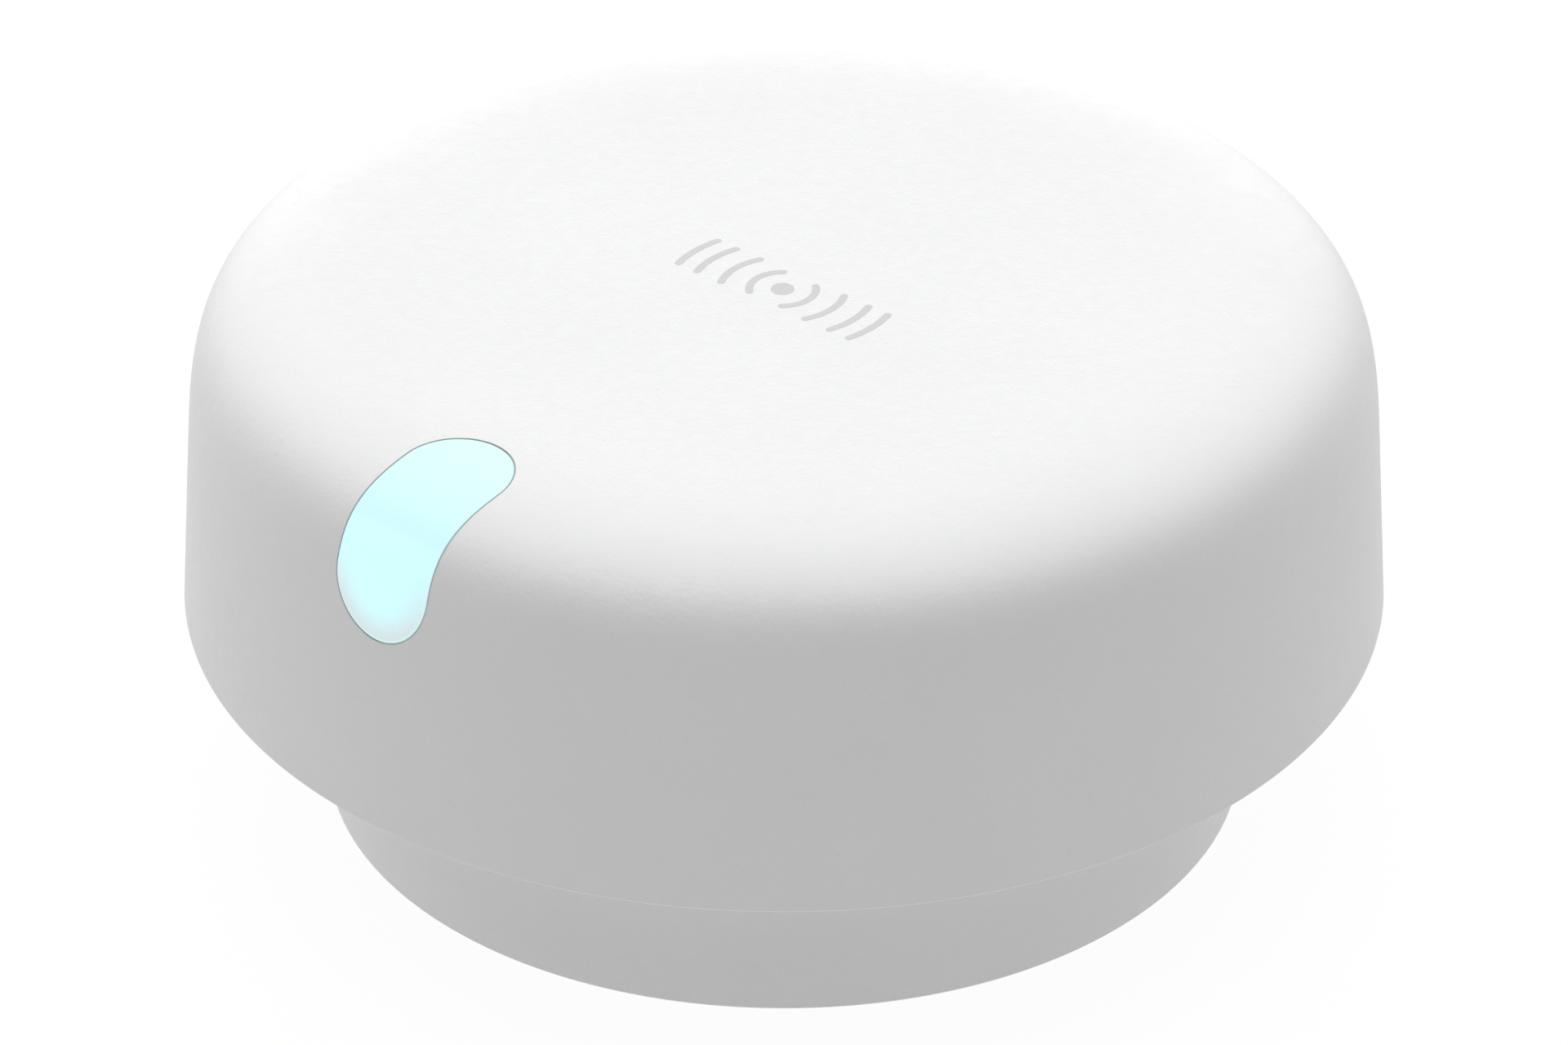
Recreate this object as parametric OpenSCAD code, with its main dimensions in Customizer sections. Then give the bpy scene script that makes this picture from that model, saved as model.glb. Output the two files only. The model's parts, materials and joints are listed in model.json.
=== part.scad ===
// Round presence sensor: a drum-shaped puck with an illuminated button let into
// its top edge, on a round magnetic foot that swivels and folds out on a hinge.
// Frame: +Z is the sensing axis, +Y points from the axis to the button, and the
// origin is the centre of the underside of the folded foot. Millimetres.

/* [Puck] */
// Diameter of the puck at its lower rim
puck_d = 64; // [62:0.5:68]
// Height of the whole device with the foot folded
total_h = 29.5; // [29.2:0.1:31]
// Height of the puck's lower rim above the surface
rim_z = 11.14; // [11.1:0.02:11.2]
// How far the side leans in per mm of height
side_draft = 0.0562; // [0.03:0.001:0.06]
// Wall thickness of the front housing
wall = 2.0; // [1.7:0.1:2.1]

/* [Button] */
// Width of the button window
window_w = 6.3; // [5.7:0.1:6.6]
// Length of the button window over the edge
window_l = 11.7; // [10.5:0.1:12]
// Gap between the button lens and the housing
window_gap = 0.1; // [0.1:0.01:0.2]
// Thickness of the button lens
lens_t = 1.5; // [1.2:0.1:1.6]

/* [Stand] */
// Diameter of the foot and swivel plate
foot_d = 49.2; // [48:0.2:50]
// Thickness of the folded foot
foot_h = 7.0; // [6.8:0.1:7.1]
// Distance of the hinge axis from the puck's axis
hinge_y = 25.3; // [25:0.1:26]
// Radius of the hinge barrel
barrel_r = 3.0; // [2.8:0.1:3.1]
// Diameter of the hinge pin
pin_d = 2.0; // [1.6:0.1:2.2]

/* [Electronics] */
// Diameter of the main board
main_board_d = 54; // [50:1:54]
// Thickness of the main board
main_board_t = 1.2; // [1:0.1:1.2]
// Number of patches in each antenna column
patches = 5; // [3:1:6]

/* [Hidden] */
$fn = 96;
e = 0.01;

puck_r = puck_d / 2;
foot_r = foot_d / 2;
slope = sqrt(1 + side_draft * side_draft);
function side_r(z) = puck_r - (z - rim_z) * side_draft;

// The top edge is one cubic blend from the leaning side to the flat face, so its
// curvature grows and fades with no visible start: points are [radius, height].
blend_z = total_h - 7.745;
blend_in = 12.02;
corner = [side_r(total_h), total_h];
b0 = [side_r(blend_z), blend_z];
b3 = [corner[0] - blend_in, total_h];
b1 = b0 + (corner - b0) * 0.926;
b2 = b3 + (corner - b3) * 0.887;
function bz(t) = pow(1 - t, 3) * b0 + 3 * pow(1 - t, 2) * t * b1 + 3 * (1 - t) * t * t * b2 + pow(t, 3) * b3;
function dbz(t) = pow(1 - t, 2) * (b1 - b0) + 2 * (1 - t) * t * (b2 - b1) + t * t * (b3 - b2);
function out_dir(t) = let(d = dbz(t)) [d[1], -d[0]] / norm(d);
// The blend at a depth below the outer skin, in n steps
function skin(depth, n) = [for (i = [0:n]) bz(i / n) - depth * out_dir(i / n)];
function puck_outline(depth, zb, n) = concat(
  [[0, zb], [side_r(zb) - depth * slope, zb]],
  skin(depth, n),
  [[0, total_h - depth]]);

// Solid puck, inset by a depth
module puck_solid(depth, zb, n) {
  rotate_extrude($fn = 180) polygon(puck_outline(depth, zb, n));
}

// Button frame: local z points out of the window at 45 degrees, local y runs down over the edge
window_y = 0.73;
module at_window() { rotate([-45, 0, 0]) children(); }
module pill(w, l) {
  square([w, l - w], center = true);
  translate([0, (l - w) / 2]) circle(d = w);
  translate([0, -(l - w) / 2]) circle(d = w);
}
// Depth of the window's two rounded ends: both are flatter than half circles, so that
// they look evenly round where they bend over onto the face and the side
face_end = 2.43;
side_end = 2.75;
end_n = 16;
// Window's outline, larger by g all round
function window_points(g) = let(
    a = window_w / 2 + g, b0 = face_end + g, b1 = side_end + g,
    h0 = window_l / 2 - face_end, h1 = window_l / 2 - side_end) concat(
  [for (k = [0:end_n]) [a * cos(180 * k / end_n), h1 + b1 * sin(180 * k / end_n)]],
  [for (k = [0:end_n]) [-a * cos(180 * k / end_n), -h0 - b0 * sin(180 * k / end_n)]]);
module window_prism(g, u0, u1) {
  at_window() translate([0, window_y, u0]) linear_extrude(height = u1 - u0) polygon(window_points(g));
}
// Prism along -Y from y = -y0 to y = -y1, drawn in X and Z about a centre height
module port_prism(w, h, y0, y1, z) {
  translate([0, -y0, z]) rotate([90, 0, 0]) linear_extrude(height = y1 - y0) rotate(90) pill(h, w);
}

// Heights of the stack inside the puck
cover_z = rim_z + 0.16;
cover_t = 1.8;
cover_top = cover_z + cover_t;
board_z = 16.4;
board_top = board_z + main_board_t;
spreader_z = 21.6;
spreader_t = 1.2;
pad_t = 0.5;
radar_z = spreader_z + spreader_t + pad_t;
radar_t = 1.0;
radar_top = radar_z + radar_t;
usb_z = board_top + 1.63;
pillar = 15.2;
radar_posts = [[20.5, 0], [-20.5, 0], [0, -19.5]];
board_posts = [[22, 0], [-22, 0], [0, -17.6]];
module at_pillars() { for (x = [-pillar, pillar], y = [-pillar, pillar]) translate([x, y, 0]) children(); }
module at_list(list) { for (p = list) translate([p[0], p[1], 0]) children(); }
module block(x0, x1, y0, y1, z0, z1) { translate([x0, y0, z0]) cube([x1 - x0, y1 - y0, z1 - z0]); }

// ---------- Puck ----------
bracket_x = 6.4;
bracket_w = -0.3;
bracket_u = 28.75;
module front_housing() {
  color("white") difference() {
    union() {
      difference() {
        // small chamfer on the lower outer edge
        rotate_extrude($fn = 180) polygon(concat(
          [[0, rim_z], [puck_r - 0.2, rim_z], [puck_r, rim_z + 0.2]],
          skin(0, 36), [[0, total_h]]));
        puck_solid(wall, rim_z - 1, 14);
      }
      // pillars for the case screws, and posts for the radar stack
      at_pillars() {
        translate([0, 0, board_top + 0.02]) cylinder(r = 3, h = total_h - 1.2 - board_top);
        translate([0, 0, cover_top + 0.1]) cylinder(r = 1.9, h = 6);
      }
      at_list(radar_posts) translate([0, 0, radar_top + 0.02]) cylinder(r = 2.25, h = total_h - 1.3 - radar_top);
      // bosses for the button bracket, square to the window
      intersection() {
        at_window() for (x = [-bracket_x, bracket_x]) translate([x, bracket_w, bracket_u]) cylinder(r = 1.7, h = 14);
        puck_solid(0.8, rim_z, 14);
      }
      // thickened pad behind the charging port
      intersection() {
        block(-7.6, 7.6, -31, -27.2, 15.9, 22.8);
        puck_solid(0.8, rim_z, 14);
      }
    }
    window_prism(0, 30, 46);
    // screw holes
    at_pillars() translate([0, 0, cover_top]) cylinder(r = 0.83, h = 20 - cover_top, $fn = 24);
    at_list(radar_posts) translate([0, 0, radar_top - 0.1]) cylinder(r = 0.78, h = 3, $fn = 24);
    at_window() for (x = [-bracket_x, bracket_x]) translate([x, bracket_w, bracket_u - 0.1]) cylinder(r = 0.63, h = 4.2, $fn = 24);
    // port: a shallow recess for the plug, the way through, and the seal's seat
    port_prism(12.8, 6.9, 29.6, 34, usb_z);
    port_prism(9.3, 3.6, 26, 31, usb_z);
    port_prism(11.3, 5.6, 26, 28.6, usb_z);
  }
}

module rear_cover() {
  color("whitesmoke") difference() {
    union() {
      // plate with an upstanding rim that carries the seal
      rotate_extrude($fn = 144) polygon([
        [0, cover_z], [29.6, cover_z], [29.8, cover_z + 0.2], [29.8, cover_top], [29.3, cover_top], [29.3, 13.85],
        [28.75, 13.85], [28.75, 14.9], [29.3, 14.9], [29.3, 15.6], [27.5, 15.6], [27.5, cover_top], [0, cover_top]]);
      at_list(board_posts) translate([0, 0, cover_top - e]) cylinder(r = 2.2, h = board_z - cover_top);
      // spigot that the swivel plate turns on
      translate([0, 0, 8.8]) cylinder(r = 6, h = 5.4);
    }
    at_pillars() {
      translate([0, 0, cover_z - 1]) cylinder(r = 1.9, h = 2, $fn = 32);
      translate([0, 0, cover_z]) cylinder(r = 1.0, h = 3, $fn = 24);
    }
    at_list(board_posts) translate([0, 0, 13.4]) cylinder(r = 0.78, h = 4, $fn = 24);
    for (a = [90, 210, 330]) rotate(a) translate([3.6, 0, 8]) cylinder(r = 0.83, h = 5.2, $fn = 24);
  }
}

module housing_seal() {
  color("dimgray") translate([0, 0, 14.375]) rotate_extrude($fn = 144) translate([29.24, 0]) circle(r = 0.47, $fn = 24);
}

module pan_screw(r, shank, len, head_r, head_h) {
  // head down, shank up along +Z from z = 0
  translate([0, 0, 0]) cylinder(r = shank, h = len, $fn = 24);
  difference() {
    translate([0, 0, -head_h]) cylinder(r = head_r, h = head_h, $fn = 32);
    translate([0, 0, -head_h - e]) cylinder(r = head_r * 0.42, h = head_h * 0.6, $fn = 6);
  }
}

module case_screws() {
  color("silver") at_pillars() translate([0, 0, 12.3]) pan_screw(0, 0.8, 7.2, 1.7, 0.85);
}

// ---------- Button ----------
module window_gasket() {
  color("gainsboro") intersection() {
    difference() { puck_solid(wall + 0.03, rim_z, 14); puck_solid(wall + 0.26, rim_z - 1, 14); }
    difference() {
      window_prism(0.75, 28, 46);
      window_prism(0.1, 27, 47);
    }
  }
}

module button_lens() {
  color([0.78, 0.98, 1.0]) intersection() {
    difference() { puck_solid(0, rim_z, 36); puck_solid(lens_t, rim_z - 1, 24); }
    window_prism(-window_gap, 30, 46);
  }
}

plunger_u = 32.66;
module button_carrier() {
  color("white") union() {
    intersection() {
      difference() { puck_solid(lens_t + 0.02, rim_z, 24); puck_solid(wall + 1.1, rim_z - 1, 14); }
      window_prism(-window_gap, 28, 46);
    }
    intersection() {
      difference() { puck_solid(wall + 0.35, rim_z, 14); puck_solid(wall + 1.1, rim_z - 1, 14); }
      window_prism(0.65, 28, 46);
    }
    at_window() translate([0, 0, plunger_u]) cylinder(r = 1.1, h = 38 - plunger_u, $fn = 32);
  }
}

module switch_plunger() {
  color("dimgray") at_window() translate([0, 0, 31.95]) cylinder(r = 0.95, h = 0.67, $fn = 32);
}

module switch_body() {
  color("silver") at_window() difference() {
    translate([-2.25, -2.25, 29.62]) cube([4.5, 4.5, 2.2]);
    translate([0, 0, 31.4]) cylinder(r = 1.15, h = 2, $fn = 32);
  }
}

module indicator_board() {
  color("seagreen") at_window() translate([-4.2, -4.5, 28.8]) cube([8.4, 8.1, 0.8]);
}

module indicator_leds() {
  color("ivory") at_window() for (x = [-2.95, 2.95]) translate([x - 0.4, -0.2, 29.61]) cube([0.8, 1.6, 0.6]);
}

module light_sensor() {
  color("black") at_window() translate([2.45, -3.4, 29.61]) cube([1.1, 1.6, 0.6]);
}

module light_baffle() {
  color("white") at_window() translate([0, -0.3, 29.61]) difference() {
    translate([-4.1, -4.0, 0]) cube([8.2, 7.6, 2.5]);
    translate([-3.6, -3.5, -1]) cube([7.2, 6.6, 5]);
    // way out for the ribbon
    translate([-2.2, 2, -1]) cube([4.4, 3, 1.35]);
  }
}

module button_bracket() {
  color("lightgray") at_window() difference() {
    union() {
      translate([-8.1, -4.3, 27.5]) cube([16.2, 7.4, 1.23]);
    }
    for (x = [-bracket_x, bracket_x]) translate([x, bracket_w, 27]) cylinder(r = 0.8, h = 3, $fn = 24);
    translate([-2.6, -2.6, 27]) cube([5.2, 4.4, 3]);
  }
}

module bracket_screws() {
  color("silver") at_window() for (x = [-bracket_x, bracket_x]) translate([x, bracket_w, 27.48]) pan_screw(0, 0.6, 5, 1.3, 0.8);
}

module button_flex() {
  // ribbon from the indicator board round to the main board's connector
  p = [[22.78, 19.24], [24.20, 17.82], [24.58, 17.10], [24.44, 16.35], [23.85, 15.90], [23.10, 15.80], [18.48, 15.80]];
  color("darkorange") for (i = [0]) translate([-2, 0, 0]) rotate([90, 0, 90]) linear_extrude(height = 4) polygon([
    for (k = [0:6]) p[k] + 0.08 * side_of(p, k),
    for (k = [6:-1:0]) p[k] - 0.08 * side_of(p, k)]);
}
function side_of(p, k) = let(a = p[max(k - 1, 0)], b = p[min(k + 1, len(p) - 1)], d = (b - a) / norm(b - a)) [-d[1], d[0]];

module flex_connector() {
  color("ivory") block(-3.2, 3.2, 15.2, 18.4, 15.3, 16.38);
}

// ---------- Radar ----------
module board_outline(r, flat, notch) {
  difference() {
    circle(r = r, $fn = 120);
    translate([-40, flat]) square([80, 40]);
    for (x = [-pillar, pillar], y = [-pillar, pillar]) translate([x, y]) circle(r = notch, $fn = 40);
  }
}

module radar_board() {
  color("darkgreen") translate([0, 0, radar_z]) linear_extrude(height = radar_t) difference() {
    board_outline(23.5, 15.0, 3.4);
    for (p = radar_posts) translate(p) circle(r = 0.95, $fn = 24);
  }
}

module radar_chip() {
  color("dimgray") block(-5.2, 5.2, -6.2, 4.2, radar_top, radar_top + 1.1);
}

module radar_support_chips() {
  color("black") {
    block(-3, 3, 7.2, 11.2, radar_top, radar_top + 0.8);
    block(5.4, 8.4, 9, 12, radar_top, radar_top + 0.8);
    block(-8.4, -5.8, 9, 11, radar_top, radar_top + 0.9);
    block(-2.5, 2.5, -14.5, -10.5, radar_top, radar_top + 0.9);
  }
}

module patch_column(x, y0, n) {
  // patches in series on one feed line
  translate([x, y0, radar_top]) union() {
    translate([-0.15, 0, 0]) cube([0.3, n * 2.3, 0.1]);
    for (i = [0:n - 1]) translate([-0.75, i * 2.3 + 0.7, 0]) cube([1.5, 1.2, 0.1]);
  }
}
module radar_antennas() {
  color("gold") {
    for (i = [0:3]) patch_column(-16.2 + i * 2.5, -6.5, patches);
    for (i = [0:2]) patch_column(8.4 + i * 4.2, -6.5, patches);
  }
}

module radar_screws() {
  color("silver") at_list(radar_posts) translate([0, 0, spreader_z]) pan_screw(0, 0.75, 5.4, 1.6, 0.9);
}

module heat_spreader() {
  color("lightsteelblue") union() {
    difference() {
      translate([0, 0, spreader_z]) linear_extrude(height = spreader_t) difference() {
        board_outline(22.8, 14.2, 3.4);
        for (p = radar_posts) translate(p) circle(r = 0.95, $fn = 24);
        translate([4.2, 4.2]) square([9.6, 6]);
      }
    }
    at_list(radar_posts) translate([0, 0, spreader_z + spreader_t - e]) difference() {
      cylinder(r = 2.1, h = pad_t);
      translate([0, 0, -1]) cylinder(r = 0.95, h = 3, $fn = 24);
    }
  }
}

module thermal_pad() {
  color("lightpink") block(-6, 6, -7, 5, spreader_z + spreader_t, radar_z);
}

module board_link_lower() {
  color("black") block(5, 13, 5, 9.2, board_top, 20.4);
}
module board_link_upper() {
  color("dimgray") block(5.4, 12.6, 5.4, 8.8, 20.42, radar_z);
}

// ---------- Main board ----------
module main_board() {
  color("darkgreen") translate([0, 0, board_z]) linear_extrude(height = main_board_t) difference() {
    circle(d = main_board_d, $fn = 140);
    translate([-40, 18.5]) square([80, 40]);
    for (x = [-pillar, pillar], y = [-pillar, pillar]) translate([x, y]) circle(r = 2.05, $fn = 40);
    for (p = board_posts) translate(p) circle(r = 0.95, $fn = 24);
  }
}

module main_board_screws() {
  color("silver") at_list(board_posts) translate([0, 0, board_top]) rotate([180, 0, 0]) pan_screw(0, 0.75, 4.0, 1.5, 1.0);
}

module wireless_module() {
  color("black") block(-16, -3, -11.5, 5.5, board_top, board_top + 0.8);
}
module wireless_shield() {
  color("silver") difference() {
    block(-15.6, -3.4, -11.1, 1.6, board_top + 0.8, board_top + 2.8);
    block(-15.4, -3.6, -10.9, 1.4, board_top, board_top + 2.6);
  }
}

module power_inductor() {
  color("dimgray") block(6, 11, -9.4, -4.4, board_top, board_top + 2.8);
}
module board_chips() {
  color("black") {
    block(12.4, 15.4, -8.6, -5.6, board_top, board_top + 0.9);
    block(5.5, 10.5, -2.2, 2.8, board_top, board_top + 0.9);
    block(-7.5, -4.5, 9, 12, board_top, board_top + 0.9);
    block(14, 16.4, 1.5, 5, board_top, board_top + 0.9);
  }
}
module board_capacitors() {
  color("tan") {
    for (i = [0:3]) block(12.6 + i * 1.7, 13.8 + i * 1.7, -11.6, -9.6, board_top, board_top + 1.1);
    for (i = [0:2]) block(-12 + i * 2.2, -10.6 + i * 2.2, 7.2, 8.2, board_top, board_top + 0.7);
    for (i = [0:2]) block(0.6, 2.6, -9 + i * 2, -8 + i * 2, board_top, board_top + 1.1);
    block(-1.8, 1.8, 11, 13.2, board_top, board_top + 1.6);
  }
}

// ---------- Charging port ----------
module usb_shell() {
  color("silver") difference() {
    port_prism(8.94, 3.24, 22.1, 29.45, usb_z);
    port_prism(8.34, 2.64, 22.5, 30, usb_z);
  }
}
module usb_tongue() {
  color("black") union() {
    block(-3.35, 3.35, -28.5, -22.52, usb_z - 0.35, usb_z + 0.35);
    port_prism(8.3, 2.6, 22.52, 24.2, usb_z);
  }
}
module usb_seal() {
  color("dimgray") difference() {
    port_prism(11.2, 5.5, 27.3, 28.55, usb_z);
    port_prism(8.98, 3.28, 27, 29, usb_z);
  }
}

// ---------- Swivel ----------
plate_z = foot_h + 0.3;
plate_top = 10.8;
hinge_z = foot_h;
module on_hinge(x0, x1) { translate([x0, -hinge_y, hinge_z]) rotate([0, 90, 0]) linear_extrude(height = x1 - x0) children(); }
module swivel_plate() {
  color("whitesmoke") difference() {
    union() {
      rotate_extrude($fn = 144) polygon([
        [0, plate_z], [foot_r - 0.3, plate_z], [foot_r, plate_z + 0.3], [foot_r, plate_top - 0.3], [foot_r - 0.3, plate_top],
        [22.6, plate_top], [22.6, 9.2], [11.6, 9.2], [11.6, plate_top], [0, plate_top]]);
      // knuckle and the web that joins it to the plate
      on_hinge(-5.2, 5.2) circle(r = barrel_r, $fn = 48);
      block(-5.2, 5.2, -hinge_y, -22.4, plate_z, hinge_z + barrel_r);
    }
    translate([0, 0, plate_z - 1]) cylinder(r = 6.06, h = 6);
    translate([0, 0, plate_z - 1]) cylinder(r = 8.8, h = 9.2 - plate_z + 1);
    on_hinge(-6, 6) circle(r = pin_d / 2 + 0.05, $fn = 32);
    // room for the foot's hinge ears
    for (s = [-1, 1]) on_hinge(s > 0 ? 5.25 : -10.2, s > 0 ? 10.2 : -5.25) circle(r = barrel_r + 0.35, $fn = 48);
  }
}

module swivel_glide_washer() {
  color("ivory") translate([0, 0, plate_top + 0.05]) difference() {
    cylinder(r = 11, h = cover_z - plate_top - 0.1);
    translate([0, 0, -1]) cylinder(r = 6.4, h = 3);
  }
}
module swivel_wave_washer() {
  color("silver") translate([0, 0, 8.85]) difference() {
    cylinder(r = 8.3, h = 0.3);
    translate([0, 0, -1]) cylinder(r = 6.4, h = 3);
  }
}
module swivel_retainer() {
  color("silver") translate([0, 0, 8.3]) difference() {
    cylinder(r = 8.4, h = 0.5);
    for (a = [90, 210, 330]) rotate(a) translate([3.6, 0, -1]) cylinder(r = 1.0, h = 3, $fn = 24);
  }
}
module retainer_screws() {
  color("silver") for (a = [90, 210, 330]) rotate(a) translate([3.6, 0, 8.3]) pan_screw(0, 0.8, 4.6, 1.6, 0.7);
}

// ---------- Foot ----------
foot_wall = 1.6;
foot_bosses = [for (a = [45, 135, 225, 315]) [18.6 * cos(a), 18.6 * sin(a)]];
module foot_shell() {
  color("white") difference() {
    union() {
      rotate_extrude($fn = 144) polygon([
        [foot_r - 0.12, 0.06], [foot_r, 0.18], [foot_r, foot_h - 0.3], [foot_r - 0.3, foot_h], [0, foot_h],
        [0, foot_h - 1.4], [foot_r - foot_wall, foot_h - 1.4], [foot_r - foot_wall, 0.06]]);
      at_list(foot_bosses) translate([0, 0, 1.95]) cylinder(r = 2.2, h = foot_h - 1.95 - 0.5);
      // hinge ears
      for (s = [-1, 1]) {
        on_hinge(s > 0 ? 5.8 : -9.8, s > 0 ? 9.8 : -5.8) circle(r = barrel_r, $fn = 48);
        block(s > 0 ? 5.8 : -9.8, s > 0 ? 9.8 : -5.8, -hinge_y, -21.6, hinge_z - barrel_r, hinge_z);
      }
      // wall behind the knuckle's pocket
      intersection() {
        on_hinge(-7, 7) circle(r = barrel_r + 1.6, $fn = 48);
        translate([0, 0, 0.6]) cylinder(r = foot_r - 0.3, h = foot_h - 0.6);
      }
    }
    on_hinge(-5.75, 5.75) circle(r = barrel_r + 0.35, $fn = 48);
    on_hinge(-9, 9) circle(d = pin_d, $fn = 32);
    for (s = [-1, 1]) on_hinge(s > 0 ? 8.7 : -10, s > 0 ? 10 : -8.7) circle(r = 1.65, $fn = 32);
    at_list(foot_bosses) translate([0, 0, 1]) cylinder(r = 0.83, h = 4.2, $fn = 24);
    // seat for the bottom plate in the hinge ears' webs
    translate([0, 0, -1]) cylinder(r = foot_r - foot_wall, h = 2.95);
  }
}
module foot_bottom_plate() {
  color("lightgray") difference() {
    translate([0, 0, 0.7]) cylinder(r = foot_r - foot_wall - 0.06, h = 1.2);
    at_list(foot_bosses) {
      translate([0, 0, 0]) cylinder(r = 1.0, h = 3, $fn = 24);
      translate([0, 0, 0]) cylinder(r = 1.75, h = 1.4, $fn = 32);
    }
    // shallow seats for the magnets
    for (a = [0, 90, 180, 270]) rotate(a) translate([9.6, 0, 1.7]) cylinder(r = 4.6, h = 1);
  }
}
module foot_pad() {
  color("gainsboro") rotate_extrude($fn = 144) polygon([
    [0, 0], [foot_r - foot_wall - 0.45, 0], [foot_r - foot_wall - 0.2, 0.25], [foot_r - foot_wall - 0.2, 0.68], [0, 0.68]]);
}
module foot_magnets() {
  color("silver") for (a = [0, 90, 180, 270]) rotate(a) translate([9.6, 0, 1.72]) cylinder(r = 4.5, h = 2.9);
}
module magnet_keeper() {
  color("slategray") translate([0, 0, 4.65]) difference() {
    cylinder(r = 15.6, h = 0.9);
    translate([0, 0, -1]) cylinder(r = 2.5, h = 3, $fn = 48);
  }
}
module foot_screws() {
  color("silver") at_list(foot_bosses) translate([0, 0, 1.4]) pan_screw(0, 0.8, 3.4, 1.6, 0.68);
}
module hinge_pin() {
  color("silver") on_hinge(-8.6, 8.6) circle(d = pin_d, $fn = 32);
}
module hinge_washers() {
  color("silver") for (x = [-5.7, 5.3]) on_hinge(x, x + 0.4) difference() {
    circle(r = 2.4, $fn = 40);
    circle(r = pin_d / 2 + 0.03, $fn = 32);
  }
}
module hinge_caps() {
  color("whitesmoke") for (s = [-1, 1]) on_hinge(s > 0 ? 8.75 : -9.8, s > 0 ? 9.8 : -8.75) circle(r = 1.6, $fn = 32);
}

front_housing();
rear_cover();
housing_seal();
case_screws();
window_gasket();
button_lens();
button_carrier();
switch_plunger();
switch_body();
indicator_board();
indicator_leds();
light_sensor();
light_baffle();
button_bracket();
bracket_screws();
button_flex();
flex_connector();
radar_board();
radar_chip();
radar_support_chips();
radar_antennas();
radar_screws();
heat_spreader();
thermal_pad();
board_link_lower();
board_link_upper();
main_board();
main_board_screws();
wireless_module();
wireless_shield();
power_inductor();
board_chips();
board_capacitors();
usb_shell();
usb_tongue();
usb_seal();
swivel_plate();
swivel_glide_washer();
swivel_wave_washer();
swivel_retainer();
retainer_screws();
foot_shell();
foot_bottom_plate();
foot_pad();
foot_magnets();
magnet_keeper();
foot_screws();
hinge_pin();
hinge_washers();
hinge_caps();
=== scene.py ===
# Looks for the round presence sensor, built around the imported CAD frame.
import json
import math
import bpy
import numpy as np
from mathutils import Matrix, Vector
from mathutils.geometry import delaunay_2d_cdt


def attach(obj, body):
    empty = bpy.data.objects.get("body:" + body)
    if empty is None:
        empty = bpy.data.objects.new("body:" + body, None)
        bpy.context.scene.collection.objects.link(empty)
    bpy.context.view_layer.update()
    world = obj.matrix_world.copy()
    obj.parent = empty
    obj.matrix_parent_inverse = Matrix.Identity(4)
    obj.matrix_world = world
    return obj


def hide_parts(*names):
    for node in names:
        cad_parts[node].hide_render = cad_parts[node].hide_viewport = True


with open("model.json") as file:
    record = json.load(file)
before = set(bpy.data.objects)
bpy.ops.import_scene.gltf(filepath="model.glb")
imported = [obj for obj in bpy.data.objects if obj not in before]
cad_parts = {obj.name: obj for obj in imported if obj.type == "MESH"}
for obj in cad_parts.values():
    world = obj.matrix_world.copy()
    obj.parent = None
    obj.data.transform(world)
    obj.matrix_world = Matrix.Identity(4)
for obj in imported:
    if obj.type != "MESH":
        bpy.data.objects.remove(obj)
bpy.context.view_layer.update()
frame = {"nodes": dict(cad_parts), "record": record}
nodes = frame["nodes"]
MM = 0.001
C45 = math.sqrt(0.5)

# ------------------------------------------------------------------ camera and light
scene = bpy.context.scene
cam_data = bpy.data.cameras.new("camera")
cam = bpy.data.objects.new("camera", cam_data)
scene.collection.objects.link(cam)
scene.camera = cam
CAM_AZ, CAM_EL, CAM_D = math.radians(131.12), math.radians(31.67), 0.47605
target = Vector((0, 0, 0.01453))
back = Vector((math.cos(CAM_AZ) * math.cos(CAM_EL), math.sin(CAM_AZ) * math.cos(CAM_EL), math.sin(CAM_EL)))
cam.location = target + back * CAM_D
cam.rotation_mode = "QUATERNION"
cam.rotation_quaternion = (-back).to_track_quat("-Z", "Y")
cam_data.sensor_width = 36
cam_data.lens = 205.25
cam_data.clip_start, cam_data.clip_end = 0.01, 20
scene.view_settings.view_transform = "Standard"
scene.view_settings.look = "None"

# Soft studio: broad lobes of light in fixed directions of the room
FLOOR_GLOW = 0.950
LENS_GLOW = 1.0
LOBES = [  # weight, direction, power, colour
    [1.553, (0, 0, 1), 4.0, (0.996, 1.000, 1.006)],
    [1.450, (0, 0, 1), 12.0, (0.996, 0.998, 1.006)],
    [1.633, "back", 2.0, (0.999, 1.000, 1.001)],
    [1.025, "back", 8.0, (1.015, 1.000, 0.985)],
    [0.360, "back_top", 5.0, (0.985, 1.010, 1.005)],
    [0.449, "left_top", 5.0, (0.990, 0.985, 1.025)],
    [0.345, "right_top", 5.0, (0.990, 0.980, 1.030)],
    [0.755, "back_left", 10.0, (1.000, 1.000, 1.000)],
]
h = Vector((math.cos(CAM_AZ), math.sin(CAM_AZ), 0))
right = Vector((-h.y, h.x, 0))
UP = Vector((0, 0, 1))
DIRS = {"front": h, "back": -h, "right": right, "left": -right,
        "front_top": h + UP, "back_top": UP - h, "left_top": UP - right, "right_top": UP + right,
        "back_left": -h - right}


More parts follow.
